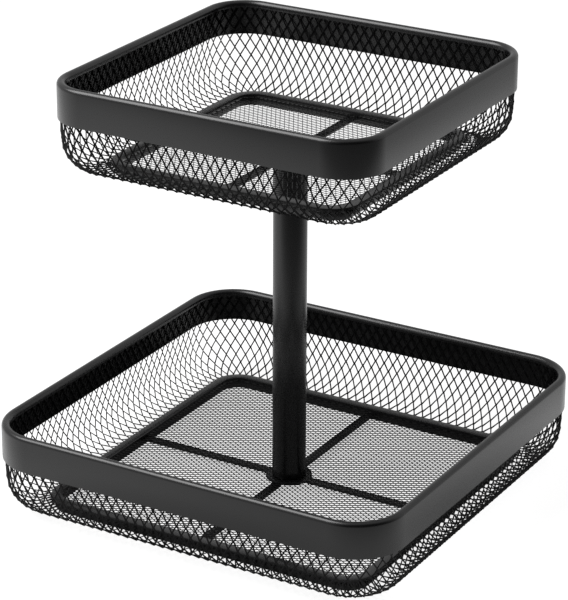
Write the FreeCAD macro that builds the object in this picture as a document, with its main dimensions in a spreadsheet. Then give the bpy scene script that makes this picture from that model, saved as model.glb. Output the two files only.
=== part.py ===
"""Two-tier wire basket: two square mesh baskets with rolled steel rims on one round post.

Millimetres, +Z up. The origin is on the ground, under the middle of the post.
Front is -Y and right is +X.
"""
import FreeCAD
import Part
import math
import os

import Sketcher

Vector = FreeCAD.Vector
ORIGIN_POINT = (-1, 1)

doc = FreeCAD.newDocument("tiered_wire_basket")

# Driving sizes

SIZES = {
    "lower_width": 300,
    "upper_width": 235,
    "lower_corner_radius": 36,
    "upper_corner_radius": 30,
    "tier_height": 65,
    "tier_spacing": 235,
    "band_height": 25,
    "band_thickness": 1,
    "bead_radius": 3,
    "bead_lip": 1.5,
    "mesh_clearance": 0.1,
    "wall_mesh_thickness": 1,
    "wall_curve_radius": 25,
    "wall_tightest_corner": 3,
    "wall_diamond_width": 26,
    "wall_diamond_height": 36,
    "wall_strand_width": 2,
    "floor_mesh_thickness": 1,
    "floor_diamond_length": 48,
    "floor_diamond_width": 28,
    "floor_strand_width": 2,
    "ring_width": 7,
    "ring_setback": 2.75,
    "ring_corner_radius": 13,
    "base_ring_width": 2.4,
    "base_ring_height": 5.2,
    "clamp_ring_height": 2.5,
    "seam_lap": 3.5,
    "seam_gap": 0.5,
    "seam_rise": 2.2,
    "hub_diameter": 32,
    "hub_thickness": 1.2,
    "spoke_width": 6.5,
    "spoke_height": 2,
    "post_diameter": 23,
    "post_wall": 1.2,
    "plug_length": 18,
    "plug_clearance": 0.1,
    "bolt_diameter": 6,
    "bolt_clearance": 0.2,
    "bolt_reach": 14,
    "bolt_head_diameter": 14,
    "bolt_head_height": 1.6,
    "hex_key_size": 4,
    "hex_depth": 1,
    "washer_diameter": 18,
    "washer_thickness": 1,
}

sheet = doc.addObject("Spreadsheet::Sheet", "Sizes")
for row, (alias, value) in enumerate(SIZES.items(), start=1):
    sheet.set(f"A{row}", alias)
    sheet.set(f"B{row}", str(value))
    sheet.setAlias(f"B{row}", alias)
doc.recompute()


def size(expression):
    """The number that an expression on the sheet comes to."""
    return float(sheet.evalExpression(expression))


# Helpers for bodies and sketches


def new_body(label):
    body = doc.addObject("PartDesign::Body", label)
    body.Label = label
    return body


def new_sketch(body, name, plane, height="0"):
    """A sketch on one of the body's own origin planes, raised by an expression along the plane's normal."""
    sketch = body.newObject("Sketcher::SketchObject", f"{body.Label}_{name}")
    origin_plane = next(item for item in body.Origin.OriginFeatures if item.Role == plane)
    sketch.AttachmentSupport = [(origin_plane, "")]
    sketch.MapMode = "FlatFace"
    sketch.setExpression("AttachmentOffset.Base.z", height)
    return sketch


def bind(sketch, constraint, name, expression):
    """Add one dimension to a sketch, name it and tie it to the sheet."""
    index = sketch.addConstraint(constraint)
    sketch.renameConstraint(index, name)
    sketch.setExpression(f"Constraints.{name}", expression)


def add_circle(sketch, name, diameter):
    circle = sketch.addGeometry(Part.Circle(Vector(), Vector(0, 0, 1), size(diameter) / 2))
    sketch.addConstraint(Sketcher.Constraint("Coincident", circle, 3, *ORIGIN_POINT))
    bind(sketch, Sketcher.Constraint("Diameter", circle, size(diameter)), name, diameter)


def add_rounded_square(sketch, name, width, radius):
    """A square centred on the sketch's origin, with its four corners rounded."""
    half = size(width) / 2
    bend = size(radius)
    inner = half - bend
    lines = []
    arcs = []
    for quarter in range(4):
        turn = FreeCAD.Rotation(Vector(0, 0, 1), 90 * quarter)
        start = turn.multVec(Vector(half, -inner))
        end = turn.multVec(Vector(half, inner))
        lines.append(sketch.addGeometry(Part.LineSegment(start, end)))
        circle = Part.Circle(turn.multVec(Vector(inner, inner)), Vector(0, 0, 1), bend)
        first = math.radians(90 * quarter)
        arcs.append(sketch.addGeometry(Part.ArcOfCircle(circle, first, first + math.pi / 2)))
    rules = []
    for quarter in range(4):
        rules.append(Sketcher.Constraint("Tangent", lines[quarter], 2, arcs[quarter], 1))
        rules.append(Sketcher.Constraint("Tangent", arcs[quarter], 2, lines[(quarter + 1) % 4], 1))
        rules.append(Sketcher.Constraint("Vertical" if quarter % 2 == 0 else "Horizontal", lines[quarter]))
    for quarter in range(1, 4):
        rules.append(Sketcher.Constraint("Equal", arcs[0], arcs[quarter]))
    rules.append(Sketcher.Constraint("Equal", lines[0], lines[1]))
    rules.append(Sketcher.Constraint("Symmetric", arcs[0], 3, arcs[2], 3, *ORIGIN_POINT))
    sketch.addConstraint(rules)
    across = Sketcher.Constraint("DistanceX", lines[2], 1, lines[0], 2, 2 * half)
    bind(sketch, across, f"{name}_width", width)
    bind(sketch, Sketcher.Constraint("Radius", arcs[0], bend), f"{name}_radius", radius)


def pad(body, sketch, length):
    feature = body.newObject("PartDesign::Pad", f"{sketch.Name}_pad")
    feature.Profile = sketch
    feature.setExpression("Length", length)
    return feature


def washer_body(label, bottom, thickness, outer, inner):
    """A round plate with a round hole."""
    body = new_body(label)
    sketch = new_sketch(body, "outline", "XY_Plane", bottom)
    add_circle(sketch, "outer", outer)
    add_circle(sketch, "inner", inner)
    pad(body, sketch, thickness)
    return body


# Heights and insets shared by the two baskets, as expressions on the sheet

MESH_INSET = "(Sizes.band_thickness + Sizes.mesh_clearance)"
BOLT_HOLE = "(Sizes.bolt_diameter + 2 * Sizes.bolt_clearance)"
POST_BORE = "(Sizes.post_diameter - 2 * Sizes.post_wall)"
POST_BOTTOM = "(Sizes.base_ring_height + Sizes.floor_mesh_thickness)"
POST_TOP = "(Sizes.tier_spacing + Sizes.base_ring_height - Sizes.hub_thickness)"


class Tier:
    """The expressions that place one basket: its width, its corner and the levels of its pieces."""

    def __init__(self, name, base):
        self.name = name
        self.base = base
        self.width = f"Sizes.{name}_width"
        self.corner = f"Sizes.{name}_corner_radius"
        self.top = f"({base} + Sizes.tier_height)"
        self.seam = f"({base} + Sizes.base_ring_height)"
        self.floor = f"({self.seam} + Sizes.floor_mesh_thickness)"
        self.wall_bottom = f"({self.seam} - Sizes.seam_rise)"
        self.mesh_top = f"({self.top} - Sizes.bead_radius)"
        self.mesh_width = f"({self.width} - 2 * {MESH_INSET})"
        self.mesh_corner = f"({self.corner} - {MESH_INSET})"
        self.curve = f"min(Sizes.wall_curve_radius; {self.mesh_corner} - Sizes.wall_tightest_corner)"
        self.ring_width = f"({self.mesh_width} - 2 * {self.curve} - 2 * Sizes.ring_setback)"
        self.ring_corner = "(Sizes.ring_corner_radius + Sizes.ring_width)"
        self.ring_opening = f"({self.ring_width} - 2 * Sizes.ring_width)"
        self.lap_width = f"({self.ring_width} - 2 * Sizes.seam_lap)"
        self.lap_corner = f"({self.ring_corner} - Sizes.seam_lap)"


LOWER = Tier("lower", "0")
UPPER = Tier("upper", "Sizes.tier_spacing")


# Rim band: a strip whose top edge is rolled inwards, in short flats

BEAD_FLAT_COUNT = 6
HOLLOW_FLAT_COUNT = 4


def add_roll(sketch, name, centre, radius, expression, count):
    """A half round of equal flats, from the outer side over to the inner side."""
    flats = []
    tips = []
    for number in range(count + 1):
        angle = math.pi * number / count
        tips.append(centre + Vector(math.cos(angle), math.sin(angle), 0) * radius)
    for first, second in zip(tips, tips[1:]):
        flats.append(sketch.addGeometry(Part.LineSegment(first, second)))
    guide = sketch.addGeometry(Part.Circle(centre, Vector(0, 0, 1), radius), True)
    for flat, following in zip(flats, flats[1:]):
        sketch.addConstraint(Sketcher.Constraint("Coincident", flat, 2, following, 1))
        sketch.addConstraint(Sketcher.Constraint("Equal", flat, following))
        sketch.addConstraint(Sketcher.Constraint("PointOnObject", flat, 2, guide))
    sketch.addConstraint(Sketcher.Constraint("PointOnObject", flats[0], 1, guide))
    sketch.addConstraint(Sketcher.Constraint("Symmetric", flats[0], 1, flats[-1], 2, guide, 3))
    bind(sketch, Sketcher.Constraint("Radius", guide, radius), name, expression)
    return flats[0], flats[-1], guide


def rim_band(tier):
    body = new_body(f"{tier.name}_rim_band")
    path = new_sketch(body, "path", "XY_Plane", tier.top)
    add_rounded_square(path, "rim", tier.width, tier.corner)
    section = new_sketch(body, "section", "XZ_Plane")
    face = size(tier.width) / 2
    top = size(tier.top)
    roll = size("Sizes.bead_radius")
    wall = size("Sizes.band_thickness")
    foot = top - size("Sizes.band_height")
    spring = top - roll
    lip = spring - size("Sizes.bead_lip")
    lip_face = face - 2 * roll
    centre = Vector(face - roll, spring, 0)
    bead_start, bead_end, bead = add_roll(
        section, "bead", centre, roll, "Sizes.bead_radius", BEAD_FLAT_COUNT)
    within = "Sizes.bead_radius - Sizes.band_thickness"
    hollow_start, hollow_end, hollow = add_roll(
        section, "hollow", centre, roll - wall, within, HOLLOW_FLAT_COUNT)
    outer, lip_inside, lip_end, lip_outside, inner, bottom = section.addGeometry([
        Part.LineSegment(Vector(face, foot), Vector(face, spring)),
        Part.LineSegment(Vector(lip_face, spring), Vector(lip_face, lip)),
        Part.LineSegment(Vector(lip_face, lip), Vector(lip_face + wall, lip)),
        Part.LineSegment(Vector(lip_face + wall, lip), Vector(lip_face + wall, spring)),
        Part.LineSegment(Vector(face - wall, spring), Vector(face - wall, foot)),
        Part.LineSegment(Vector(face - wall, foot), Vector(face, foot)),
    ])
    section.addConstraint([
        Sketcher.Constraint("Coincident", bottom, 2, outer, 1),
        Sketcher.Constraint("Coincident", outer, 2, bead_start, 1),
        Sketcher.Constraint("Coincident", bead_end, 2, lip_inside, 1),
        Sketcher.Constraint("Coincident", lip_inside, 2, lip_end, 1),
        Sketcher.Constraint("Coincident", lip_end, 2, lip_outside, 1),
        Sketcher.Constraint("Coincident", lip_outside, 2, hollow_end, 2),
        Sketcher.Constraint("Coincident", hollow_start, 1, inner, 1),
        Sketcher.Constraint("Coincident", inner, 2, bottom, 1),
        Sketcher.Constraint("Coincident", bead, 3, hollow, 3),
        Sketcher.Constraint("Vertical", outer),
        Sketcher.Constraint("Vertical", lip_inside),
        Sketcher.Constraint("Vertical", lip_outside),
        Sketcher.Constraint("Vertical", inner),
        Sketcher.Constraint("Horizontal", lip_end),
        Sketcher.Constraint("Horizontal", bottom),
        Sketcher.Constraint("Horizontal", outer, 2, bead, 3),
        Sketcher.Constraint("Horizontal", inner, 1, hollow, 3),
    ])
    half_width = f"{tier.width} / 2"
    bind(section, Sketcher.Constraint("DistanceX", *ORIGIN_POINT, outer, 1, face), "face", half_width)
    foot_level = f"{tier.top} - Sizes.band_height"
    bind(section, Sketcher.Constraint("DistanceY", *ORIGIN_POINT, outer, 1, foot), "foot", foot_level)
    rise = "Sizes.band_height - Sizes.bead_radius"
    bind(section, Sketcher.Constraint("DistanceY", outer, 1, outer, 2, spring - foot), "rise", rise)
    bind(section, Sketcher.Constraint("DistanceY", lip_inside, 2, lip_inside, 1, spring - lip), "lip",
         "Sizes.bead_lip")
    sweep = body.newObject("PartDesign::AdditivePipe", f"{body.Label}_sweep")
    sweep.Profile = section
    sweep.Spine = path
    return body


# Wall mesh: one sheet of diamonds, upright behind the band and then curved in to the seam

FLATNESS = 1e-6


class WallSurface:
    """The outer face of a wall mesh, by distance along its top edge and distance down from there."""

    def __init__(self, tier):
        self.half = size(tier.mesh_width) / 2
        self.corner = size(tier.mesh_corner)
        self.curve = size(tier.curve)
        self.top = size(tier.mesh_top)
        self.bottom = size(tier.wall_bottom)
        self.rise = size("Sizes.seam_rise")
        self.side = self.half - self.corner
        self.bow = self.corner * math.pi / 2
        self.around = 8 * self.side + 4 * self.bow
        self.upright = self.top - self.bottom - self.curve
        self.length = self.upright + self.curve * math.pi / 2
        self.edge_half = size(tier.lap_width) / 2
        self.edge_corner = size(tier.lap_corner)
        self.edge_length = self.half - self.curve - self.edge_half

    def outline(self, along, half, corner, height):
        """The point of a rounded square that lies across from a distance along the top edge."""
        quarter, rest = divmod(along, self.around / 4)
        reach = half - corner
        if rest < self.side:
            point = Vector(half, rest / self.side * reach, height)
        elif rest < self.side + self.bow:
            angle = (rest - self.side) / self.corner
            point = Vector(reach, reach, height) + Vector(math.cos(angle), math.sin(angle), 0) * corner
        else:
            point = Vector((2 * self.side + self.bow - rest) / self.side * reach, half, height)
        return FreeCAD.Rotation(Vector(0, 0, 1), 90 * quarter).multVec(point)

    def place(self, along, down, depth):
        """The point there, at a depth below the outer face; past the curve the sheet rises to the seam."""
        turned = min(max(0, down - self.upright) / self.curve, math.pi / 2)
        inset = self.curve * (1 - math.cos(turned)) + depth * math.cos(turned)
        height = self.top - min(down, self.upright) + (depth - self.curve) * math.sin(turned)
        point = self.outline(along, self.half - inset, self.corner - inset, height)
        share = max(0, down - self.length) / self.edge_length
        edge = self.outline(along, self.edge_half, self.edge_corner, height + self.rise)
        return point + (edge - point) * share


class WallLattice:
    """Staggered rows of diamond gaps on a wall surface: half diamonds in the first and last row."""

    def __init__(self, tier):
        self.surface = WallSurface(tier)
        self.thickness = size("Sizes.wall_mesh_thickness")
        self.border = size("Sizes.wall_strand_width")
        self.end = self.surface.length + self.surface.edge_length
        self.columns = 4 * round(self.surface.around / size("Sizes.wall_diamond_width") / 4)
        self.pitch = self.surface.around / self.columns
        reach = self.surface.length - self.border
        self.rows = max(2, round(2 * reach / size("Sizes.wall_diamond_height")))
        self.step = reach / self.rows
        slant = math.hypot(self.pitch / 2, self.step)
        self.open = 1 - self.border * slant / (self.pitch * self.step)
        self.faces = []

    def gap(self, row, place):
        """The left, right, top and bottom tips of the gap in a row, by its place in pitches."""
        along = place * self.pitch
        down = self.border + row * self.step
        wide = self.pitch / 2 * self.open
        tall = self.step * self.open
        return (along - wide, down), (along + wide, down), (along, down - tall), (along, down + tall)

    def add(self, corners):
        """A face through three or four points, as two triangles where it isn't flat."""
        first, second, third = corners[:3]
        normal = (second - first).cross(third - first).normalize()
        flat = abs(normal.dot(corners[-1] - first)) < FLATNESS
        parts = [corners] if flat else [corners[:3], [first] + corners[2:]]
        for part in parts:
            self.faces.append(Part.Face(Part.makePolygon(part + part[:1])))

    def skin(self, *tips):
        """A patch of the sheet, on its outer and its inner face."""
        for depth in (0, self.thickness):
            self.add([self.surface.place(along, down, depth) for along, down in tips])

    def edge(self, *tips):
        """A cut edge of the sheet from one tip to the next."""
        outer = [self.surface.place(along, down, 0) for along, down in tips]
        inner = [self.surface.place(along, down, self.thickness) for along, down in tips]
        for first in range(len(tips) - 1):
            second = first + 1
            self.add([outer[first], outer[second], inner[second], inner[first]])

    def border_strip(self, start, end, level, rim):
        """A patch of the plain border between a row's level and the rim of the sheet."""
        self.skin((start, level), (end, level), (end, rim), (start, rim))
        self.edge((start, rim), (end, rim))

    def build(self):
        last = self.rows
        for row in range(last + 1):
            for column in range(self.columns):
                place = column + row % 2 / 2
                left, right, top, bottom = self.gap(row, place)
                next_left = self.gap(row, place + 1)[0]
                if row == 0:
                    self.edge(left, bottom, right, left)
                elif row == last:
                    self.edge(left, top, right, left)
                else:
                    self.edge(left, top, right, bottom, left)
                knuckle = [right]
                if row < last:
                    low_left = self.gap(row + 1, place - 0.5)
                    low_right = self.gap(row + 1, place + 0.5)
                    self.skin(left, bottom, low_left[1], low_left[2])
                    self.skin(right, low_right[2], low_right[0], bottom)
                    knuckle.append(low_right[2])
                knuckle.append(next_left)
                if row > 0:
                    knuckle.append(self.gap(row - 1, place + 0.5)[3])
                self.skin(*knuckle)
                if row in (0, last):
                    rim = 0 if row == 0 else self.end
                    self.border_strip(left[0], right[0], left[1], rim)
                    self.border_strip(right[0], next_left[0], left[1], rim)
        shell = Part.makeShell(self.faces)
        shell.sewShape()
        solid = Part.makeSolid(shell)
        if solid.Volume < 0:
            solid.reverse()
        return solid


def wall_mesh(tier):
    mesh = doc.addObject("Part::Feature", f"{tier.name}_wall_mesh")
    mesh.Label = f"{tier.name}_wall_mesh"
    mesh.Shape = WallLattice(tier).build()
    return mesh


# Seam rings: steel bar above and below the meshes' edges


def seam_ring(tier, name, bottom, height, width):
    """A square ring of bar along the seam, its inner sides in line with the other ring's."""
    body = new_body(f"{tier.name}_{name}")
    outline = new_sketch(body, "outline", "XY_Plane", bottom)
    corner = f"Sizes.ring_corner_radius + {width}"
    add_rounded_square(outline, "outer", f"{tier.ring_opening} + 2 * {width}", corner)
    add_rounded_square(outline, "inner", tier.ring_opening, "Sizes.ring_corner_radius")
    pad(body, outline, height)
    return body


def base_ring(tier):
    """The narrow ring under the seam, which a basket stands on."""
    return seam_ring(tier, "base_ring", tier.base, "Sizes.base_ring_height", "Sizes.base_ring_width")


def clamp_ring(tier):
    """The flat ring over the seam, which shows inside the basket."""
    return seam_ring(tier, "clamp_ring", tier.floor, "Sizes.clamp_ring_height", "Sizes.ring_width")


# Floor mesh: one flat face with staggered diamond gaps


def clipped(polygon, half, bend):
    """A polygon cut to a square about the axis, whose corners are cut across where a bend would pass."""
    for eighth in range(8):
        outward = FreeCAD.Rotation(Vector(0, 0, 1), 45 * eighth).multVec(Vector(1, 0, 0))
        limit = half if eighth % 2 == 0 else math.sqrt(2) * (half - bend) + bend
        kept = []
        for number, point in enumerate(polygon):
            before = polygon[number - 1]
            ahead = outward.dot(point) - limit
            behind = outward.dot(before) - limit
            if ahead * behind < 0:
                kept.append(before + (point - before) * (behind / (behind - ahead)))
            if ahead <= 0:
                kept.append(point)
        polygon = kept
    return polygon


def rounded_wire(half, bend, level):
    """A square wire with rounded corners, centred on the axis."""
    inner = half - bend
    edges = []
    for quarter in range(4):
        turn = FreeCAD.Rotation(Vector(0, 0, 1), 90 * quarter)
        start = turn.multVec(Vector(half, -inner, level))
        end = turn.multVec(Vector(half, inner, level))
        edges.append(Part.makeLine(start, end))
        centre = turn.multVec(Vector(inner, inner, level))
        edges.append(Part.makeCircle(bend, centre, Vector(0, 0, 1), 90 * quarter, 90 * quarter + 90))
    return Part.Wire(edges)


def floor_face(tier, turned):
    """The holed face, its diamonds long along X, or along Y where they are turned."""
    level = size(tier.seam)
    width = size(tier.lap_width) - 2 * size("Sizes.seam_gap")
    bend = size(tier.lap_corner) - size("Sizes.seam_gap")
    half_open = size(tier.ring_opening) / 2
    strand = size("Sizes.floor_strand_width")
    long_pitch = size("Sizes.floor_diamond_length")
    short_pitch = size("Sizes.floor_diamond_width")
    stretch = 1 - strand / short_pitch * math.hypot(1, short_pitch / long_pitch)
    hub = Part.Face(Part.Wire(Part.makeCircle(size("Sizes.hub_diameter") / 2, Vector(0, 0, level))))
    reach = math.ceil(half_open / short_pitch) * 2
    turn = FreeCAD.Rotation(Vector(0, 0, 1), 90 if turned else 0)

    holes = []
    for row in range(-reach, reach + 1):
        for column in range(-reach, reach + 1):
            centre = Vector((column + row % 2 / 2) * long_pitch, row * short_pitch / 2, 0)
            tips = [
                centre + Vector(long_pitch / 2 * stretch, 0, 0),
                centre + Vector(0, short_pitch / 2 * stretch, 0),
                centre - Vector(long_pitch / 2 * stretch, 0, 0),
                centre - Vector(0, short_pitch / 2 * stretch, 0),
            ]
            gap = clipped(tips, half_open, size("Sizes.ring_corner_radius"))
            if len(gap) < 3:
                continue
            points = [turn.multVec(tip) + Vector(0, 0, level) for tip in gap]
            opening = Part.Face(Part.makePolygon(points + points[:1])).cut(hub)
            holes += [face.OuterWire for face in opening.Faces if face.Area > strand * strand]
    bolt_hole = Part.makeCircle(size(BOLT_HOLE) / 2, Vector(0, 0, level))
    holes.append(Part.Wire(bolt_hole))
    return Part.makeFace([rounded_wire(width / 2, bend, level)] + holes, "Part::FaceMakerBullseye")


def floor_mesh(tier, turned):
    net = doc.addObject("Part::Feature", f"{tier.name}_floor_net")
    net.Shape = floor_face(tier, turned)
    mesh = doc.addObject("Part::Extrusion", f"{tier.name}_floor_mesh")
    mesh.Label = f"{tier.name}_floor_mesh"
    mesh.Base = net
    mesh.DirMode = "Custom"
    mesh.Dir = Vector(0, 0, 1)
    mesh.Solid = True
    mesh.setExpression("LengthFwd", "Sizes.floor_mesh_thickness")
    return mesh


# Hub disc and spokes, under the floor mesh


def hub_disc(tier):
    label = f"{tier.name}_hub_disc"
    bottom = f"{tier.seam} - Sizes.hub_thickness"
    return washer_body(label, bottom, "Sizes.hub_thickness", "Sizes.hub_diameter", BOLT_HOLE)


def spoke(tier, side, quarter):
    """A bar that butts on the hub disc with a hollowed end, and on the flat inside of the base ring."""
    body = new_body(f"{tier.name}_spoke_{side}")
    outline = new_sketch(body, "outline", "XY_Plane", f"{tier.seam} - Sizes.spoke_height")
    half = size("Sizes.spoke_width") / 2
    hub = size("Sizes.hub_diameter") / 2
    end = size(tier.ring_opening) / 2
    spread = math.asin(half / hub)
    start = hub * math.cos(spread)
    lines = outline.addGeometry([
        Part.ArcOfCircle(Part.Circle(Vector(), Vector(0, 0, 1), hub), -spread, spread),
        Part.LineSegment(Vector(start, half), Vector(end, half)),
        Part.LineSegment(Vector(end, half), Vector(end, -half)),
        Part.LineSegment(Vector(end, -half), Vector(start, -half)),
    ])
    hollow, left, butt, right = lines
    outline.addConstraint([
        Sketcher.Constraint("Coincident", hollow, 3, *ORIGIN_POINT),
        Sketcher.Constraint("Coincident", hollow, 2, left, 1),
        Sketcher.Constraint("Coincident", left, 2, butt, 1),
        Sketcher.Constraint("Coincident", butt, 2, right, 1),
        Sketcher.Constraint("Coincident", right, 2, hollow, 1),
        Sketcher.Constraint("Horizontal", left),
        Sketcher.Constraint("Horizontal", right),
        Sketcher.Constraint("Symmetric", butt, 1, butt, 2, -1),
    ])
    bind(outline, Sketcher.Constraint("Radius", hollow, hub), "hub", "Sizes.hub_diameter / 2")
    bind(outline, Sketcher.Constraint("DistanceY", butt, 2, butt, 1, 2 * half), "width", "Sizes.spoke_width")
    reach = f"{tier.ring_opening} / 2"
    bind(outline, Sketcher.Constraint("DistanceX", *ORIGIN_POINT, butt, 1, end), "end", reach)
    pad(body, outline, "Sizes.spoke_height")
    body.Placement = FreeCAD.Placement(Vector(), FreeCAD.Rotation(Vector(0, 0, 1), 90 * quarter))
    return body


# Post and its fastenings


def post_tube():
    length = f"{POST_TOP} - {POST_BOTTOM}"
    return washer_body("post_tube", POST_BOTTOM, length, "Sizes.post_diameter", POST_BORE)


def post_plug(label, bottom):
    outer = f"{POST_BORE} - 2 * Sizes.plug_clearance"
    return washer_body(label, bottom, "Sizes.plug_length", outer, BOLT_HOLE)


def bolt(label, seat, upwards):
    """A bolt with a thin flat head and a hex recess, its shank running up or down from its seat."""
    body = new_body(label)
    head = new_sketch(body, "head", "XY_Plane", seat)
    add_circle(head, "head", "Sizes.bolt_head_diameter")
    pad(body, head, "Sizes.bolt_head_height").Reversed = upwards
    shank = new_sketch(body, "shank", "XY_Plane", seat)
    add_circle(shank, "shank", "Sizes.bolt_diameter")
    pad(body, shank, "Sizes.bolt_reach").Reversed = not upwards
    crown = f"{seat} {'-' if upwards else '+'} Sizes.bolt_head_height"
    recess = new_sketch(body, "recess", "XY_Plane", crown)
    add_hexagon(recess, "Sizes.hex_key_size")
    pocket = body.newObject("PartDesign::Pocket", f"{label}_recess_cut")
    pocket.Profile = recess
    pocket.Reversed = upwards
    pocket.setExpression("Length", "Sizes.hex_depth")
    return body


def group(label, bodies):
    """Like pieces under one name, each still a solid of its own."""
    pair = doc.addObject("Part::Compound", label)
    pair.Label = label
    pair.Links = bodies
    return pair


def add_hexagon(sketch, across_flats):
    """A hexagon about the sketch's origin, sized across its flats."""
    radius = size(across_flats) / math.sqrt(3)
    tips = [Vector(radius, 0, 0)]
    for corner in range(1, 6):
        tips.append(FreeCAD.Rotation(Vector(0, 0, 1), 60 * corner).multVec(tips[0]))
    sides = [sketch.addGeometry(Part.LineSegment(tips[n], tips[(n + 1) % 6])) for n in range(6)]
    guide = sketch.addGeometry(Part.Circle(Vector(), Vector(0, 0, 1), radius), True)
    sketch.addConstraint(Sketcher.Constraint("Coincident", guide, 3, *ORIGIN_POINT))
    for n in range(6):
        sketch.addConstraint(Sketcher.Constraint("Coincident", sides[n], 2, sides[(n + 1) % 6], 1))
        sketch.addConstraint(Sketcher.Constraint("PointOnObject", sides[n], 1, guide))
    for n in range(1, 6):
        sketch.addConstraint(Sketcher.Constraint("Equal", sides[0], sides[n]))
    sketch.addConstraint(Sketcher.Constraint("PointOnObject", sides[0], 1, -1))
    bind(sketch, Sketcher.Constraint("Diameter", guide, 2 * radius), "tips", f"{across_flats} * 2 / sqrt(3)")


# The assembly

SPOKE_SIDES = ("right", "rear", "left", "front")

pieces = []
for tier, turned in ((LOWER, False), (UPPER, True)):
    pieces += [rim_band(tier), wall_mesh(tier), floor_mesh(tier, turned)]
    pieces += [base_ring(tier), clamp_ring(tier), hub_disc(tier)]
    pieces += [spoke(tier, side, quarter) for quarter, side in enumerate(SPOKE_SIDES)]

upper_washer = washer_body(
    "upper_washer", UPPER.floor, "Sizes.washer_thickness", "Sizes.washer_diameter", BOLT_HOLE)
lower_plug = post_plug("lower_plug", POST_BOTTOM)
upper_plug = post_plug("upper_plug", f"{POST_TOP} - Sizes.plug_length")
lower_bolt = bolt("lower_bolt", f"({LOWER.seam} - Sizes.hub_thickness)", True)
upper_bolt = bolt("upper_bolt", f"({UPPER.floor} + Sizes.washer_thickness)", False)
pieces += [post_tube(), upper_washer]
pieces += [group("post_plugs", [lower_plug, upper_plug]), group("tier_bolts", [lower_bolt, upper_bolt])]
doc.recompute()

# Checks, then one file for each piece

for item in doc.Objects:
    if "Invalid" in item.State or "Error" in item.State:
        raise RuntimeError(f"{item.Label} did not compute")
for piece in pieces:
    if piece.Shape.isNull() or not piece.Shape.isValid():
        raise RuntimeError(f"{piece.Label} has no valid shape")

os.makedirs("parts", exist_ok=True)
for piece in pieces:
    piece.Shape.exportStep(f"parts/{piece.Label}.step")
    print(piece.Label, len(piece.Shape.Solids), round(piece.Shape.Volume))
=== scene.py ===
"""Tiered wire basket: two square mesh baskets on one round post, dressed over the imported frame."""

import math

import bmesh
import bpy
from bpy.props import FloatProperty, FloatVectorProperty, PointerProperty
from mathutils import Matrix, Vector


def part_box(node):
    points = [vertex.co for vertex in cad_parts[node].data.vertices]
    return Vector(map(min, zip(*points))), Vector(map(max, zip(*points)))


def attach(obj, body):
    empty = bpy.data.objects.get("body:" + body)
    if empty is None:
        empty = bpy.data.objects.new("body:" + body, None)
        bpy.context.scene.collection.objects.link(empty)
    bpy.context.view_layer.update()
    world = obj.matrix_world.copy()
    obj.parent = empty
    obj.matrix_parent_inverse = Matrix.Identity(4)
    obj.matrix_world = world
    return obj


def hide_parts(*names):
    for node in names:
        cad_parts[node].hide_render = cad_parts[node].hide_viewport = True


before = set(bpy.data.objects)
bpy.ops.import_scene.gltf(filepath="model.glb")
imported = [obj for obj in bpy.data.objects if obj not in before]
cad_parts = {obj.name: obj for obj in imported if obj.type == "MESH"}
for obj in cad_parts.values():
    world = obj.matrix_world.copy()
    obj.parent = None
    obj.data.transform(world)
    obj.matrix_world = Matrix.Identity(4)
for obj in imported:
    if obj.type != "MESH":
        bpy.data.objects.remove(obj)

bl_info = {
    "name": "Tiered Wire Basket",
    "version": (1, 0, 0),
    "blender": (4, 5, 0),
    "location": "View3D > Sidebar > Basket",
    "description": "Builds a two-tier basket of expanded steel mesh and its studio",
    "category": "Add Mesh",
}

# Blender works in metres, so a length in millimetres is given times MM.
MM = 0.001
QUARTER = math.pi / 2
UPRIGHT = (0, 0, 1)
MERGE = 0.01 * MM
TIERS = ("lower", "upper")
SIDES = {"front": (0, -1, 0), "right": (1, 0, 0), "rear": (0, 1, 0), "left": (-1, 0, 0)}

# Edges sharper than the first angle are eased, and edges sharper than the second don't shade smooth.
EASED_ANGLE = math.radians(50)
SMOOTH_ANGLE = math.radians(40)

# How finely the rounded forms are drawn
EASE_SEGMENTS = 2
BEAD_STEPS = 14
RIM_CORNER_STEPS = 20
RING_CORNER_STEPS = 12
DISC_STEPS = 48
POST_SEGMENTS = 64
HEAD_SEGMENTS = 36

# A diamond narrower than this many strands stays closed.
NARROWEST_DIAMOND = 1.3


def linear(code):
    """The linear colour of an sRGB hex value, by the sRGB standard's curve."""
    channels = [int(code[place:place + 2], 16) / 255 for place in (1, 3, 5)]
    return tuple(c / 12.92 if c <= 0.04045 else ((c + 0.055) / 1.055) ** 2.4 for c in channels)


# Sizes and colours that a user would change

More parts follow.
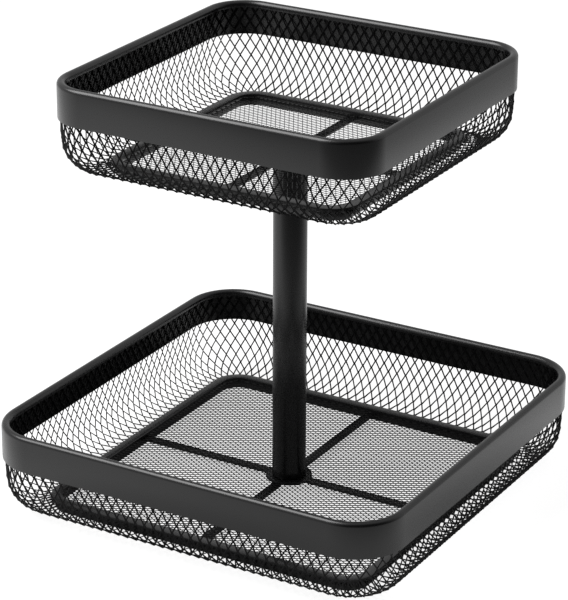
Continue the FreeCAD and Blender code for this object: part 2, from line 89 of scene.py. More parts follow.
class BasketSizes(bpy.types.PropertyGroup):
    """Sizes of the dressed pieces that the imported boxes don't give."""

    lower_corner: FloatProperty(name="Lower corner radius", default=36 * MM, unit="LENGTH",
                                description="Outer corner radius of the lower rim")
    upper_corner: FloatProperty(name="Upper corner radius", default=30 * MM, unit="LENGTH",
                                description="Outer corner radius of the upper rim")
    bead_radius: FloatProperty(name="Bead radius", default=3 * MM, unit="LENGTH",
                               description="Radius of the rolled top edge of each rim")
    bead_lip: FloatProperty(name="Bead lip", default=1.5 * MM, unit="LENGTH",
                            description="Straight end of the roll inside the rim")
    sheet: FloatProperty(name="Rim sheet", default=1 * MM, unit="LENGTH",
                         description="Thickness of the rim's steel strip")
    ease: FloatProperty(name="Eased edge", default=0.25 * MM, unit="LENGTH",
                        description="Rounding that the paint leaves on cut steel edges")
    wall_curve: FloatProperty(name="Wall curve", default=21 * MM, unit="LENGTH",
                              description="Radius of the wall mesh's turn into the floor")
    wall_round: FloatProperty(name="Wall corner growth", default=6 * MM, unit="LENGTH",
                              description="How much rounder the wall's corners get below the rim")
    wall_lap: FloatProperty(name="Wall lap", default=3.5 * MM, unit="LENGTH",
                            description="How far the wall mesh reaches in under the clamp ring")
    wall_rise: FloatProperty(name="Wall rise", default=2.2 * MM, unit="LENGTH",
                             description="How far the wall mesh rises from its lowest line to the seam")
    wall_cell: FloatVectorProperty(name="Wall diamond", size=2, default=(7.2 * MM, 12 * MM),
                                   unit="LENGTH",
                                   description="Width and height of one diamond of the wall mesh")
    wall_strand: FloatProperty(name="Wall strand", default=0.8 * MM, unit="LENGTH",
                               description="Width of the strands of the wall mesh")
    wall_depth: FloatProperty(name="Wall depth", default=0.5 * MM, unit="LENGTH",
                              description="Thickness of the expanded sheet of the walls")
    wall_raise: FloatProperty(name="Wall raise", default=0.55 * MM, unit="LENGTH",
                              description="How far the expanding left each bond's edges out and in")
    floor_cell: FloatVectorProperty(name="Floor diamond", size=2, default=(6.1 * MM, 3.54 * MM),
                                    unit="LENGTH",
                                    description="Length and width of one diamond of the floor mesh")
    floor_strand: FloatProperty(name="Floor strand", default=0.4 * MM, unit="LENGTH",
                                description="Width of the strands of the floor mesh")
    floor_depth: FloatProperty(name="Floor depth", default=0.4 * MM, unit="LENGTH",
                               description="Thickness of the expanded sheet of the floors")
    floor_raise: FloatProperty(name="Floor raise", default=0.15 * MM, unit="LENGTH",
                               description="How far the flattening left each bond's edges up and down")
    ring_corner: FloatProperty(name="Ring corner radius", default=13 * MM, unit="LENGTH",
                               description="Inner corner radius of the seam rings")
    clamp_spread: FloatProperty(name="Clamp ring spread", default=1.5 * MM, unit="LENGTH",
                                description="How far the clamp rings stand outside the solids' rings")
    base_spread: FloatProperty(name="Base ring spread", default=3 * MM, unit="LENGTH",
                               description="How far the base rings stand outside the solids' rings")
    clamp_width: FloatProperty(name="Clamp ring width", default=7 * MM, unit="LENGTH",
                               description="Width of the flat ring over the seam")
    clamp_sink: FloatProperty(name="Clamp ring sink", default=0.6 * MM, unit="LENGTH",
                              description="How far the welding pressed the clamp ring into the meshes")
    base_width: FloatProperty(name="Base ring width", default=2.4 * MM, unit="LENGTH",
                              description="Width of the narrow ring under the seam")
    post_wall: FloatProperty(name="Post wall", default=1.2 * MM, unit="LENGTH",
                             description="Wall of the post tube")
    bolt_head: FloatProperty(name="Bolt head", default=1.6 * MM, unit="LENGTH",
                             description="Height of the bolt heads")
    bolt_shank: FloatProperty(name="Bolt shank", default=3 * MM, unit="LENGTH",
                              description="Radius of the bolt shanks")
    bolt_reach: FloatProperty(name="Bolt reach", default=14 * MM, unit="LENGTH",
                              description="Length of the bolt shanks")
    hex_key: FloatProperty(name="Hex key", default=4 * MM, unit="LENGTH",
                           description="Size across the flats of the bolt sockets")
    hex_depth: FloatProperty(name="Hex depth", default=1 * MM, unit="LENGTH",
                             description="Depth of the bolt sockets")


class BasketColours(bpy.types.PropertyGroup):
    """Colours of the finishes and the studio."""

    paint: FloatVectorProperty(name="Paint", subtype="COLOR", size=3, default=linear("#070708"),
                               description="Black powder coat of the steel")
    paint_light: FloatVectorProperty(name="Paint, thin", subtype="COLOR", size=3,
                                     default=linear("#0f0f10"),
                                     description="The same coat where it lies thinner")
    zinc: FloatVectorProperty(name="Zinc", subtype="COLOR", size=3, default=linear("#b9bcc0"),
                              description="Bright zinc plate of the bolts and washer")
    zinc_dull: FloatVectorProperty(name="Zinc, dull", subtype="COLOR", size=3, default=linear("#9a9ca0"),
                                   description="Zinc plate where it has dulled")
    backdrop: FloatVectorProperty(name="Backdrop", subtype="COLOR", size=3, default=linear("#ffffff"),
                                  description="White of the floor and of the room round it")


# Mesh tools

def ease_edges(bm, offset):
    """Rounds every sharp edge of a closed shape."""
    sharp = [edge for edge in bm.edges if edge.is_manifold and edge.calc_face_angle() > EASED_ANGLE]
    bmesh.ops.bevel(bm, geom=sharp, offset=offset, offset_type="OFFSET", affect="EDGES",
                    segments=EASE_SEGMENTS, profile=0.5, material=-1, clamp_overlap=True)


def new_profile(bm, low, high):
    """An upright rectangle of four edges at y = 0, from its low to its high corner (x, z)."""
    size = (high[0] - low[0], high[1] - low[1], 1)
    middle = Vector((low[0] + high[0], 0, low[1] + high[1])) / 2
    place = Matrix.Translation(middle) @ Matrix.Rotation(QUARTER, 4, "X") @ Matrix.Diagonal((*size, 1))
    bmesh.ops.create_grid(bm, x_segments=1, y_segments=1, size=0.5, matrix=place)
    bmesh.ops.delete(bm, geom=bm.faces[:], context="FACES_ONLY")


def sweep_round_square(bm, half, corner, steps):
    """Sweeps the upright profile at y = 0 round a rounded square and closes it."""
    straight = half - corner
    profile = bm.verts[:] + bm.edges[:]
    run = bmesh.ops.spin(bm, geom=profile, axis=UPRIGHT, dvec=(0, straight, 0), angle=0, steps=1)
    bend = bmesh.ops.spin(bm, geom=run["geom_last"], cent=(straight, straight, 0), axis=UPRIGHT,
                          angle=QUARTER, steps=steps)
    bmesh.ops.spin(bm, geom=bend["geom_last"], axis=UPRIGHT, dvec=(-straight, 0, 0), angle=0, steps=1)
    quarter = bm.verts[:] + bm.edges[:] + bm.faces[:]
    bmesh.ops.spin(bm, geom=quarter, axis=UPRIGHT, angle=3 * QUARTER, steps=3, use_duplicate=True)
    bmesh.ops.remove_doubles(bm, verts=bm.verts[:], dist=MERGE)
    bmesh.ops.recalc_face_normals(bm, faces=bm.faces[:])


def turn_disc(bm, low, high, hole):
    """A round plate between two levels, with a round hole."""
    new_profile(bm, (hole, low.z), (high.x, high.z))
    bmesh.ops.spin(bm, geom=bm.verts[:] + bm.edges[:], axis=UPRIGHT, angle=4 * QUARTER,
                   steps=DISC_STEPS, use_merge=True)
    bmesh.ops.recalc_face_normals(bm, faces=bm.faces[:])


def diamond_sheet(bm, low, columns, rows, cell):
    """A flat sheet of diamonds set point to point, with half diamonds along its border."""
    size = Vector((columns * cell[0], rows * cell[1]))
    middle = Matrix.Translation((low[0] + size.x / 2, low[1] + size.y / 2, 0))
    place = middle @ Matrix.Diagonal((*size, 1, 1))
    bmesh.ops.create_grid(bm, x_segments=columns, y_segments=rows, size=0.5, matrix=place)
    middles = set(bmesh.ops.poke(bm, faces=bm.faces[:])["verts"])
    between = [edge for edge in bm.edges if not edge.is_boundary and not middles.intersection(edge.verts)]
    bmesh.ops.dissolve_edges(bm, edges=between, use_verts=False)


def keep_flat_places(bm):
    """Writes each corner's place on the flat sheet to a UV map, and returns that map's layer."""
    layer = bm.loops.layers.uv.new("flat_sheet")
    for face in bm.faces:
        for loop in face.loops:
            loop[layer].uv = loop.vert.co.xy
    return layer


def open_diamonds(bm, layer, strand, tilt, depth):
    """Cuts each diamond down to its strands, tilts the bonds between them and gives the sheet depth."""
    wide = [face for face in bm.faces
            if 4 * face.calc_area() / face.calc_perimeter() > NARROWEST_DIAMOND * strand]
    bmesh.ops.inset_individual(bm, faces=wide, thickness=strand / 2, use_even_offset=True,
                               use_interpolate=True)
    # Expanding the sheet tilts each bond, so one end of every gap lies further in than the other.
    for face in wide:
        face.normal_update()
        corners = sorted(face.loops, key=lambda loop: loop[layer].uv.x)
        lift = face.normal * tilt(corners[0][layer].uv.y)
        corners[0].vert.co -= lift
        corners[-1].vert.co += lift
    bmesh.ops.delete(bm, geom=wide, context="FACES_ONLY")
    bmesh.ops.solidify(bm, geom=bm.faces[:], thickness=depth)


def extrude_loop(bm, edges, move=(0, 0, 0), scale=1):
    """Extrudes a loop of edges, scales its copy about the z axis, moves it and returns its edges."""
    made = bmesh.ops.extrude_edge_only(bm, edges=edges)["geom"]
    corners = [item for item in made if isinstance(item, bmesh.types.BMVert)]
    bmesh.ops.scale(bm, verts=corners, vec=(scale, scale, 1))
    bmesh.ops.translate(bm, verts=corners, vec=move)
    drawn = [item for item in made if isinstance(item, bmesh.types.BMEdge)]
    return [edge for edge in drawn if set(edge.verts) <= set(corners)]


def add_piece(bm, name, finish, nodes):
    """Makes a piece of the finished bmesh that stands for its CAD nodes."""
    mesh = bpy.data.meshes.new(name)
    bm.to_mesh(mesh)
    bm.free()
    mesh.shade_smooth()
    mesh.set_sharp_from_angle(angle=SMOOTH_ANGLE)
    mesh.materials.append(finish)
    piece = bpy.data.objects.new(name, mesh)
    bpy.context.scene.collection.objects.link(piece)
    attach(piece, "root")
    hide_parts(*nodes)


# Finishes

# How far the coat's roughness strays to either side
GLOSS_SPREAD = 0.04


def add_node(tree, kind, inputs=None, **settings):
    """Adds a node with its settings; each input is a value or the socket that feeds it."""
    node = tree.nodes.new(kind)
    for name, value in settings.items():
        setattr(node, name, value)
    for socket, source in (inputs or {}).items():
        if isinstance(source, bpy.types.NodeSocket):
            tree.links.new(source, node.inputs[socket])
        else:
            node.inputs[socket].default_value = source
    return node


def new_finish(name):
    """A material with its empty node tree and output, or without these two if it was made before."""
    finish = bpy.data.materials.get(name)
    if finish:
        return finish, None, None
    finish = bpy.data.materials.new(name)
    finish.use_nodes = True
    finish.node_tree.nodes.clear()
    return finish, finish.node_tree, finish.node_tree.nodes.new("ShaderNodeOutputMaterial")


def powder_coat(name, peel, rough, gleam):
    """Black powder coat, sprayed and baked: a satin black skin with a faint orange peel.

    The coat is of uneven thickness, so its black and its gleam drift a little over each piece.
    """
    finish, tree, output = new_finish(name)
    if tree is None:
        return finish
    colours = bpy.context.scene.basket_colours
    place = add_node(tree, "ShaderNodeTexCoord").outputs["Object"]
    # The coat's thickness drifts over about 25 mm.
    drift = add_node(tree, "ShaderNodeTexNoise", {"Vector": place, "Scale": 1 / (25 * MM), "Detail": 2.0})
    colour = add_node(tree, "ShaderNodeMix", {"Factor": drift.outputs["Fac"], "A": (*colours.paint, 1),
                                              "B": (*colours.paint_light, 1)}, data_type="RGBA")
    # Orange peel is up to 1 mm across. It is drawn coarser on wide faces, so that it shows in the render.
    skin = add_node(tree, "ShaderNodeTexNoise", {"Vector": place, "Scale": 1 / peel, "Detail": 1.0})
    gloss = add_node(tree, "ShaderNodeMapRange", {"Value": skin.outputs["Fac"],
                                                  "To Min": rough - GLOSS_SPREAD,
                                                  "To Max": rough + GLOSS_SPREAD})
    bump = add_node(tree, "ShaderNodeBump", {"Height": skin.outputs["Fac"], "Strength": 0.06,
                                             "Distance": 0.05 * MM})
    paint = add_node(tree, "ShaderNodeBsdfPrincipled", {"Base Color": colour.outputs["Result"],
                                                        "Roughness": gloss.outputs["Result"], "IOR": 1.5,
                                                        "Specular IOR Level": gleam,
                                                        "Normal": bump.outputs["Normal"]})
    tree.links.new(paint.outputs["BSDF"], output.inputs["Surface"])
    return finish


def zinc_plate():
    """Zinc-plated steel, barrel plated: a bright grey metal with a cloudy dullness and fine scuffs."""
    finish, tree, output = new_finish("barrel_zinc_plated_steel")
    if tree is None:
        return finish
    colours = bpy.context.scene.basket_colours
    place = add_node(tree, "ShaderNodeTexCoord").outputs["Object"]
    # The plate dulls in clouds of about 4 mm, and the barrel leaves scuffs of about 0.6 mm.
    cloud = add_node(tree, "ShaderNodeTexNoise", {"Vector": place, "Scale": 1 / (4 * MM), "Detail": 4.0})
    scuff = add_node(tree, "ShaderNodeTexNoise", {"Vector": place, "Scale": 1 / (0.6 * MM),
                                                  "Detail": 2.0})
    colour = add_node(tree, "ShaderNodeMix", {"Factor": cloud.outputs["Fac"], "A": (*colours.zinc, 1),
                                              "B": (*colours.zinc_dull, 1)}, data_type="RGBA")
    gloss = add_node(tree, "ShaderNodeMapRange", {"Value": cloud.outputs["Fac"], "To Min": 0.28,
                                                  "To Max": 0.45})
    bump = add_node(tree, "ShaderNodeBump", {"Height": scuff.outputs["Fac"], "Strength": 0.15,
                                             "Distance": 0.05 * MM})
    metal = add_node(tree, "ShaderNodeBsdfPrincipled", {"Base Color": colour.outputs["Result"],
                                                        "Metallic": 1.0,
                                                        "Roughness": gloss.outputs["Result"],
                                                        "Normal": bump.outputs["Normal"]})
    tree.links.new(metal.outputs["BSDF"], output.inputs["Surface"])
    return finish


def rim_paint():
    """Powder coat on smooth rolled strip and tube: broad soft gleams on bands, beads and post."""
    return powder_coat("powder_coated_steel_strip", peel=1.2 * MM, rough=0.28, gleam=0.5)


def mesh_paint():
    """Powder coat on the cut strands of expanded sheet: nearly dull, with only small gleams."""
    return powder_coat("powder_coated_expanded_steel", peel=0.8 * MM, rough=0.45, gleam=0.2)


def bar_paint():
    """Powder coat on rolled flat bar: flat faces with a soft gleam and bright eased edges."""
    return powder_coat("powder_coated_steel_bar", peel=1.2 * MM, rough=0.28, gleam=0.5)


# Pieces

class Wall:
    """The surface of one basket's wall mesh.

    It hangs upright behind the rim, turns in below it with corners that get rounder, and comes up again
    to its edge under the clamp ring.
    """

    def __init__(self, tier, sizes):
        low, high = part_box(f"{tier}_wall_mesh")
        foot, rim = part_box(f"{tier}_rim_band")
        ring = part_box(f"{tier}_clamp_ring")[1].x + sizes.clamp_spread
        self.half = high.x - sizes.wall_raise
        self.corner = getattr(sizes, f"{tier}_corner") - (rim.x - self.half)
        self.curve = sizes.wall_curve - sizes.wall_raise
        self.top = high.z
        self.bottom = low.z + sizes.wall_raise
        self.upright = self.top - self.bottom - self.curve
        self.turned = self.upright + self.curve * QUARTER
        self.edge_half = ring - sizes.wall_lap
        self.edge_corner = sizes.ring_corner + sizes.clamp_width - sizes.wall_lap
        self.edge = self.half - self.curve - self.edge_half
        self.height = self.turned + self.edge
        self.rise = sizes.wall_rise
        # The rim covers this length of the sheet, and below it the corners get rounder.
        self.covered = self.top - foot.z
        self.growth = sizes.wall_round
        self.straight = 2 * (self.half - self.corner)
        self.side = self.straight + self.corner * QUARTER
        self.round = 4 * self.side

    def outline(self, along, half, corner, level):
        """The point of a rounded square that lies across from a length along the top edge."""
        sides, rest = divmod(along % self.round, self.side)
        swing = max(rest - self.straight, 0) / self.corner
        reach = half - corner
        across = reach * (2 * min(rest / self.straight, 1) - 1)
        point = Vector((reach + corner * math.cos(swing), across + corner * math.sin(swing), level))
        return Matrix.Rotation(sides * QUARTER, 3, "Z") @ point

    def place(self, along, down):
        """The point at a length along the top edge and a length down the sheet."""
        turn = min(max(down - self.upright, 0) / self.curve, QUARTER)
        inset = self.curve * (1 - math.cos(turn))
        level = self.top - min(down, self.upright) - self.curve * math.sin(turn)
        bared = min(max(down - self.covered, 0) / (self.turned - self.covered), 1)
        corner = self.corner + self.growth * bared - inset
        point = self.outline(along, self.half - inset, corner, level)
        share = max(down - self.turned, 0) / self.edge
        return point.lerp(self.outline(along, self.edge_half, self.edge_corner, level + self.rise), share)


class BASKET_OT_rims(bpy.types.Operator):
    """Steel strip rims with their top edge rolled in to a bead."""

    bl_idname = "basket.rims"
    bl_label = "Rims"

    def execute(self, context):
        sizes = context.scene.basket_sizes
        for tier in TIERS:
            low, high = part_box(f"{tier}_rim_band")
            roll = high.z - sizes.bead_radius
            bm = bmesh.new()
            foot = bm.verts.new((high.x, 0, low.z))
            side = bmesh.ops.spin(bm, geom=[foot], axis=UPRIGHT, dvec=(0, 0, roll - low.z),
                                  angle=0, steps=1)
            bead = bmesh.ops.spin(bm, geom=side["geom_last"], cent=(high.x - sizes.bead_radius, 0, roll),
                                  axis=(0, -1, 0), angle=2 * QUARTER, steps=BEAD_STEPS)
            bmesh.ops.spin(bm, geom=bead["geom_last"], axis=UPRIGHT, dvec=(0, 0, -sizes.bead_lip),
                           angle=0, steps=1)
            sweep_round_square(bm, high.x, getattr(sizes, f"{tier}_corner"), RIM_CORNER_STEPS)
            bmesh.ops.solidify(bm, geom=bm.faces[:], thickness=sizes.sheet)
            ease_edges(bm, sizes.ease)
            add_piece(bm, f"{tier}_rim", rim_paint(), [f"{tier}_rim_band"])
        return {"FINISHED"}


class BASKET_OT_walls(bpy.types.Operator):
    """Wall meshes of raised diamonds, curved in at the bottom and round the corners."""

    bl_idname = "basket.walls"
    bl_label = "Wall meshes"

    def execute(self, context):
        sizes = context.scene.basket_sizes
        for tier in TIERS:
            wall = Wall(tier, sizes)
            columns = round(wall.round / sizes.wall_cell[0])
            rows = math.ceil(wall.height / sizes.wall_cell[1])
            cell = Vector((wall.round / columns, sizes.wall_cell[1]))
            bm = bmesh.new()
            diamond_sheet(bm, (-cell.x, -wall.height), columns + 1, rows, cell)
            bmesh.ops.bisect_plane(bm, geom=bm.verts[:] + bm.edges[:] + bm.faces[:], dist=MERGE,
                                   plane_co=(0, 0, 0), plane_no=(0, 1, 0), clear_outer=True)
            # The one column too many is cut back along the diamonds, so that the sheet's two ends meet.
            start = -cell.x / 4
            spare = [face for face in bm.faces
                     if not start < face.calc_center_median().x < start + wall.round]
            bmesh.ops.delete(bm, geom=spare, context="FACES")
            layer = keep_flat_places(bm)
            for corner in bm.verts:
                corner.co = wall.place(corner.co.x, -corner.co.y)
            bmesh.ops.remove_doubles(bm, verts=bm.verts[:], dist=MERGE)
            # Past its turn the sheet is pressed flat, for the seam.
            open_diamonds(bm, layer, sizes.wall_strand,
                          lambda height: sizes.wall_raise if -height < wall.turned else 0,
                          sizes.wall_depth)
            add_piece(bm, f"{tier}_wall", mesh_paint(), [f"{tier}_wall_mesh"])
        return {"FINISHED"}


class BASKET_OT_floors(bpy.types.Operator):
    """Flat floor meshes of finer diamonds, held between the rings."""

    bl_idname = "basket.floors"
    bl_label = "Floor meshes"

    def execute(self, context):
        sizes = context.scene.basket_sizes
        # The upper floor's diamonds lie a quarter turn from the lower floor's.
        for tier, turn in zip(TIERS, (0, QUARTER)):
            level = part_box(f"{tier}_floor_mesh")[1].z
            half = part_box(f"{tier}_floor_mesh")[1].x + sizes.clamp_spread
            columns = round(2 * half / sizes.floor_cell[0])
            rows = round(2 * half / sizes.floor_cell[1])
            cell = Vector((2 * half / columns, 2 * half / rows))
            bend = sizes.ring_corner + sizes.clamp_width - sizes.wall_lap
            reach = half - bend
            bm = bmesh.new()
            diamond_sheet(bm, (-half, -half), columns, rows, cell)
            spare = []
            for face in bm.faces:
                past = [max(abs(part) - reach, 0) for part in face.calc_center_median().xy]
                if Vector(past).length > bend:
                    spare.append(face)
            bmesh.ops.delete(bm, geom=spare, context="FACES")
            layer = keep_flat_places(bm)
            open_diamonds(bm, layer, sizes.floor_strand,
                          lambda height: sizes.floor_raise, sizes.floor_depth)
            bmesh.ops.rotate(bm, verts=bm.verts[:], matrix=Matrix.Rotation(turn, 3, "Z"))
            bmesh.ops.translate(bm, verts=bm.verts[:], vec=(0, 0, level - sizes.floor_raise))
            add_piece(bm, f"{tier}_floor", mesh_paint(), [f"{tier}_floor_mesh"])
        return {"FINISHED"}


class BASKET_OT_rings(bpy.types.Operator):
    """Flat bar rings above and below the seam between wall and floor."""

    bl_idname = "basket.rings"
    bl_label = "Seam rings"

    def execute(self, context):
        sizes = context.scene.basket_sizes
        rings = (("base_ring", sizes.base_width, sizes.base_spread, 0),
                 ("clamp_ring", sizes.clamp_width, sizes.clamp_spread, sizes.clamp_sink))
        for tier in TIERS:
            for ring, width, spread, sink in rings:
                low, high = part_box(f"{tier}_{ring}")
                half = high.x + spread
                bm = bmesh.new()
                new_profile(bm, (half - width, low.z - sink), (half, high.z))
                sweep_round_square(bm, half, sizes.ring_corner + width, RING_CORNER_STEPS)
                ease_edges(bm, sizes.ease)
                add_piece(bm, f"{tier}_{ring}_bar", bar_paint(), [f"{tier}_{ring}"])
        return {"FINISHED"}


class BASKET_OT_supports(bpy.types.Operator):
    """Hub discs and the spokes that carry each floor."""

    bl_idname = "basket.supports"
    bl_label = "Hubs and spokes"

    def execute(self, context):
        sizes = context.scene.basket_sizes
        for tier in TIERS:
            bm = bmesh.new()
            turn_disc(bm, *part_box(f"{tier}_hub_disc"), sizes.bolt_shank)
            ease_edges(bm, sizes.ease)
            add_piece(bm, f"{tier}_hub", bar_paint(), [f"{tier}_hub_disc"])
            for side, outward in SIDES.items():
                low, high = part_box(f"{tier}_spoke_{side}")
                # Each spoke is drawn out to meet the base ring.
                reach = Vector(outward) * sizes.base_spread
                low = low + Vector([min(part, 0) for part in reach])
                high = high + Vector([max(part, 0) for part in reach])
                place = Matrix.Translation((low + high) / 2) @ Matrix.Diagonal((*(high - low), 1))
                bm = bmesh.new()
                bmesh.ops.create_cube(bm, size=1, matrix=place)
                ease_edges(bm, sizes.ease)
                add_piece(bm, f"{tier}_spoke_bar_{side}", bar_paint(),
                          [f"{tier}_spoke_{side}"])
        return {"FINISHED"}


class BASKET_OT_post(bpy.types.Operator):
    """Round tube between the two floors."""

    bl_idname = "basket.post"
    bl_label = "Post"

    def execute(self, context):
        sizes = context.scene.basket_sizes
        low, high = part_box("post_tube")
        bm = bmesh.new()
        bmesh.ops.create_cone(bm, cap_ends=False, segments=POST_SEGMENTS, radius1=high.x, radius2=high.x,
                              depth=high.z - low.z, matrix=Matrix.Translation((low + high) / 2))
        bmesh.ops.solidify(bm, geom=bm.faces[:], thickness=sizes.post_wall)
        ease_edges(bm, sizes.ease)
        add_piece(bm, "post", rim_paint(), ["post_tube"])
        return {"FINISHED"}


class BASKET_OT_fasteners(bpy.types.Operator):
    """The washer and the two socket bolts that hold the baskets to the post."""

    bl_idname = "basket.fasteners"
    bl_label = "Fasteners"

    def socket_bolt(self, bm, sizes, radius):
        """A low round head with a hexagon socket, its seat at z = 0 and its shank below."""
        socket_radius = sizes.hex_key / math.sqrt(3)
        base = Matrix.Translation((0, 0, sizes.bolt_head - sizes.hex_depth))
        bmesh.ops.create_circle(bm, cap_ends=True, segments=6, radius=socket_radius, matrix=base)
        mouth = extrude_loop(bm, bm.edges[:], (0, 0, sizes.hex_depth))
        before = set(bm.edges)
        bmesh.ops.create_circle(bm, segments=HEAD_SEGMENTS, radius=radius,
                                matrix=Matrix.Translation((0, 0, sizes.bolt_head)))
        brim = [edge for edge in bm.edges if edge not in before]
        bmesh.ops.bridge_loops(bm, edges=mouth + brim)
        seat = extrude_loop(bm, brim, (0, 0, -sizes.bolt_head))
        neck = extrude_loop(bm, seat, scale=sizes.bolt_shank / radius)
        end = extrude_loop(bm, neck, (0, 0, -sizes.bolt_reach))
        bmesh.ops.contextual_create(bm, geom=end)
        bmesh.ops.recalc_face_normals(bm, faces=bm.faces[:])
        ease_edges(bm, sizes.ease)

    def execute(self, context):
        sizes = context.scene.basket_sizes
        bm = bmesh.new()
        turn_disc(bm, *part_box("upper_washer"), sizes.bolt_shank)
        ease_edges(bm, sizes.ease)
        add_piece(bm, "washer", zinc_plate(), ["upper_washer"])

        low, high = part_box("tier_bolts")
        bm = bmesh.new()
        self.socket_bolt(bm, sizes, high.x)
        lower = bmesh.ops.duplicate(bm, geom=bm.verts[:] + bm.edges[:] + bm.faces[:])["geom"]
        turned = [item for item in lower if isinstance(item, bmesh.types.BMVert)]
        upper = [corner for corner in bm.verts if corner not in set(turned)]
        bmesh.ops.rotate(bm, verts=turned, matrix=Matrix.Rotation(2 * QUARTER, 3, "X"))
        bmesh.ops.translate(bm, verts=turned, vec=(0, 0, low.z + sizes.bolt_head))
        bmesh.ops.translate(bm, verts=upper, vec=(0, 0, high.z - sizes.bolt_head))
        add_piece(bm, "socket_bolts", zinc_plate(), ["tier_bolts"])

        # The plugs, hidden in the tube, stay as their solids and only get the finish.
        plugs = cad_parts["post_plugs"].data.materials
        plugs.clear()
        plugs.append(zinc_plate())
        return {"FINISHED"}


# Studio

CAMERA_PLACE = Vector((862.9, -1489.9, 848.5)) * MM
CAMERA_TURNS = (math.radians(30.2091), math.radians(22.5158), math.radians(0.2529))
CAMERA_LENS = 166.81
CAMERA_SIGHT = 50
FLOOR_REACH = 6.0
SOFTBOX_PLACE = (-0.76, -0.6, 1.4)
SOFTBOX_TARGET = (0, 0, 0.15)
SOFTBOX_SIZE = 1.1
SOFTBOX_POWER = 26

# The paper's share that takes light and shadow, and the glow that makes it white to the eye
PAPER_MATT = 0.3
PAPER_GLOW = 0.86

# The room's light on dull faces, and its glow in a gloss where it is bright and where it is dark
ROOM_FILL = 0.4
ROOM_GLOW = 0.65
DARK_GLOW = 0.03

# The ways to the room's dark side and far side, and where along them the paper and the room fade
DARK_SIDE = (0.75, -0.66, 0)
DARK_PAPER = (0.1, 0.5)
DARK_ROOM = (0.25, 0.7)
FAR_SIDE = (0.6, 0.8, 0)
FAR_PAPER = (0.3, 0.8)
FAR_GLOW = 0.5

# How far out from the post the paper's gloss glow is dimmed as a painted shade of the lower basket, and
# its glow inside and outside
SHADE_REACH = (0.14, 0.24)
SHADE_GLOW = (0.04, 0.8)


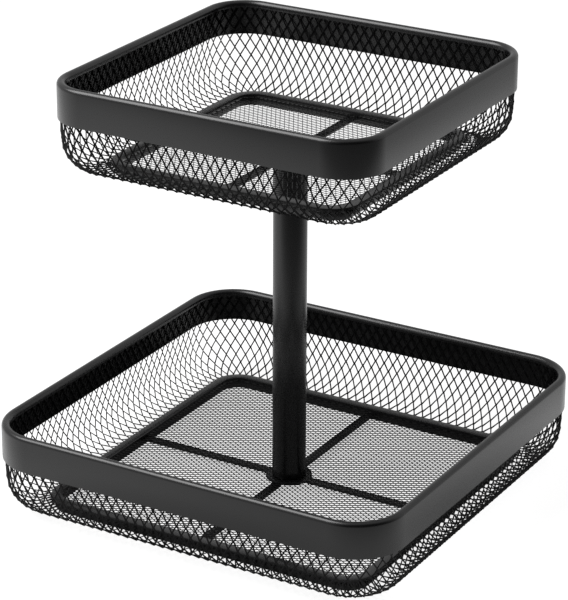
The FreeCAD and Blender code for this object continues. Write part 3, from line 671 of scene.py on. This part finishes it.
class BASKET_OT_studio(bpy.types.Operator):
    """White floor and room, a soft light and the camera."""

    bl_idname = "basket.studio"
    bl_label = "Studio"

    def mirrored_ray(self, tree, path):
        """One for a ray that a gloss or glass sent, else zero."""
        return add_node(tree, "ShaderNodeMath", {0: path.outputs["Is Glossy Ray"],
                                                 1: path.outputs["Is Transmission Ray"]},
                        operation="MAXIMUM")

    def floor_finish(self, colours):
        """Matt white paper: plain white with the object's soft shadow, and a painted glow that only gloss
        and glass see, so it is pale in the steel's gloss.

        That painted glow fades as a painted shade under the lower basket and towards the room's dark side
        and far side.
        """
        finish, tree, output = new_finish("matt_white_paper")
        if tree is None:
            return finish
        path = add_node(tree, "ShaderNodeLightPath")
        place = add_node(tree, "ShaderNodeTexCoord").outputs["Object"]
        ahead = add_node(tree, "ShaderNodeVectorMath", {0: place, 1: DARK_SIDE}, operation="DOT_PRODUCT")
        behind = add_node(tree, "ShaderNodeVectorMath", {0: place, 1: FAR_SIDE}, operation="DOT_PRODUCT")
        around = add_node(tree, "ShaderNodeVectorMath", {0: place}, operation="LENGTH")
        # Painted reflection: the paper glows only for gloss and glass rays, and these fades paint the
        # basket's shade and the room's darker sides into that glow.
        fades = ((ahead, DARK_PAPER, (1, DARK_GLOW)), (behind, FAR_PAPER, (1, FAR_GLOW)),
                 (around, SHADE_REACH, SHADE_GLOW))
        glow = self.mirrored_ray(tree, path)
        for way, (near, away), (first, last) in fades:
            fade = add_node(tree, "ShaderNodeMapRange", {"Value": way.outputs["Value"],
                                                         "From Min": near, "From Max": away,
                                                         "To Min": first, "To Max": last})
            glow = add_node(tree, "ShaderNodeMath", {0: glow.outputs["Value"], 1: fade.outputs["Result"]},
                            operation="MULTIPLY")
        strength = add_node(tree, "ShaderNodeMix", {"Factor": path.outputs["Is Camera Ray"],
                                                    "A": glow.outputs["Value"], "B": PAPER_GLOW})
        light = add_node(tree, "ShaderNodeEmission", {"Color": (*colours.backdrop, 1),
                                                      "Strength": strength.outputs["Result"]})
        tone = (*(PAPER_MATT * channel for channel in colours.backdrop), 1)
        matt = add_node(tree, "ShaderNodeBsdfDiffuse", {"Color": tone})
        both = add_node(tree, "ShaderNodeAddShader", {0: light.outputs["Emission"],
                                                      1: matt.outputs["BSDF"]})
        tree.links.new(both.outputs["Shader"], output.inputs["Surface"])
        finish.cycles.emission_sampling = "NONE"
        return finish

    def build_world(self, scene, colours):
        """A white room to the eye, with a soft fill, and in a gloss dimmer and dark towards one side."""
        scene.world = bpy.data.worlds.new("white_room")
        scene.world.use_nodes = True
        scene.world.cycles.sampling_method = "NONE"
        tree = scene.world.node_tree
        tree.nodes.clear()
        path = add_node(tree, "ShaderNodeLightPath")
        mirrored = self.mirrored_ray(tree, path)
        toward = add_node(tree, "ShaderNodeTexCoord").outputs["Generated"]
        ahead = add_node(tree, "ShaderNodeVectorMath", {0: toward, 1: DARK_SIDE}, operation="DOT_PRODUCT")
        room = add_node(tree, "ShaderNodeMapRange", {"Value": ahead.outputs["Value"],
                                                     "From Min": DARK_ROOM[0], "From Max": DARK_ROOM[1],
                                                     "To Min": ROOM_GLOW, "To Max": DARK_GLOW})
        fill = add_node(tree, "ShaderNodeMix", {"Factor": mirrored.outputs["Value"], "A": ROOM_FILL,
                                                "B": room.outputs["Result"]})
        strength = add_node(tree, "ShaderNodeMix", {"Factor": path.outputs["Is Camera Ray"],
                                                    "A": fill.outputs["Result"], "B": 1.0})
        back = add_node(tree, "ShaderNodeBackground", {"Color": (*colours.backdrop, 1),
                                                       "Strength": strength.outputs["Result"]})
        output = add_node(tree, "ShaderNodeOutputWorld")
        tree.links.new(back.outputs["Background"], output.inputs["Surface"])

    def add_softbox(self, scene):
        """A square soft light that faces the basket from above on the left."""
        lamp = bpy.data.lights.new("softbox", "AREA")
        lamp.shape = "SQUARE"
        lamp.size = SOFTBOX_SIZE
        lamp.energy = SOFTBOX_POWER
        softbox = bpy.data.objects.new("softbox", lamp)
        softbox.location = SOFTBOX_PLACE
        facing = Vector(SOFTBOX_TARGET) - Vector(SOFTBOX_PLACE)
        softbox.rotation_euler = facing.to_track_quat("-Z", "Y").to_euler()
        scene.collection.objects.link(softbox)

    def add_camera(self, scene):
        """The camera at the photograph's viewing angle."""
        lens = bpy.data.cameras.new("camera")
        lens.lens = CAMERA_LENS
        lens.clip_end = CAMERA_SIGHT
        camera = bpy.data.objects.new("camera", lens)
        around, above, roll = CAMERA_TURNS
        camera.matrix_world = (Matrix.Translation(CAMERA_PLACE) @ Matrix.Rotation(around, 4, "Z")
                               @ Matrix.Rotation(QUARTER - above, 4, "X") @ Matrix.Rotation(roll, 4, "Z"))
        scene.collection.objects.link(camera)
        scene.camera = camera

    def execute(self, context):
        scene = context.scene
        colours = scene.basket_colours
        bm = bmesh.new()
        bmesh.ops.create_grid(bm, x_segments=1, y_segments=1, size=FLOOR_REACH)
        mesh = bpy.data.meshes.new("floor")
        bm.to_mesh(mesh)
        bm.free()
        mesh.materials.append(self.floor_finish(colours))
        floor = bpy.data.objects.new("floor", mesh)
        scene.collection.objects.link(floor)

        self.build_world(scene, colours)
        self.add_softbox(scene)
        self.add_camera(scene)
        scene.view_settings.view_transform = "Standard"
        return {"FINISHED"}


class BASKET_PT_sidebar(bpy.types.Panel):
    """The basket's pieces and settings in the sidebar."""

    bl_idname = "BASKET_PT_sidebar"
    bl_label = "Tiered Wire Basket"
    bl_space_type = "VIEW_3D"
    bl_region_type = "UI"
    bl_category = "Basket"

    def draw(self, context):
        for step in STEPS:
            self.layout.operator(step.bl_idname)
        for settings in (context.scene.basket_sizes, context.scene.basket_colours):
            for name in settings.bl_rna.properties.keys():
                if name not in ("rna_type", "name"):
                    self.layout.prop(settings, name)


STEPS = (BASKET_OT_rims, BASKET_OT_walls, BASKET_OT_floors, BASKET_OT_rings, BASKET_OT_supports,
         BASKET_OT_post, BASKET_OT_fasteners, BASKET_OT_studio)
CLASSES = (BasketSizes, BasketColours, *STEPS, BASKET_PT_sidebar)


def register():
    """Registers the classes and hangs the settings on the scene."""
    for item in CLASSES:
        bpy.utils.register_class(item)
    bpy.types.Scene.basket_sizes = PointerProperty(type=BasketSizes)
    bpy.types.Scene.basket_colours = PointerProperty(type=BasketColours)


def unregister():
    """Takes the settings and the classes away again."""
    del bpy.types.Scene.basket_colours
    del bpy.types.Scene.basket_sizes
    for item in reversed(CLASSES):
        bpy.utils.unregister_class(item)


def main():
    """Builds every piece and the studio."""
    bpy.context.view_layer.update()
    register()
    bpy.ops.basket.rims()
    bpy.ops.basket.walls()
    bpy.ops.basket.floors()
    bpy.ops.basket.rings()
    bpy.ops.basket.supports()
    bpy.ops.basket.post()
    bpy.ops.basket.fasteners()
    bpy.ops.basket.studio()


if __name__ == "__main__":
    main()
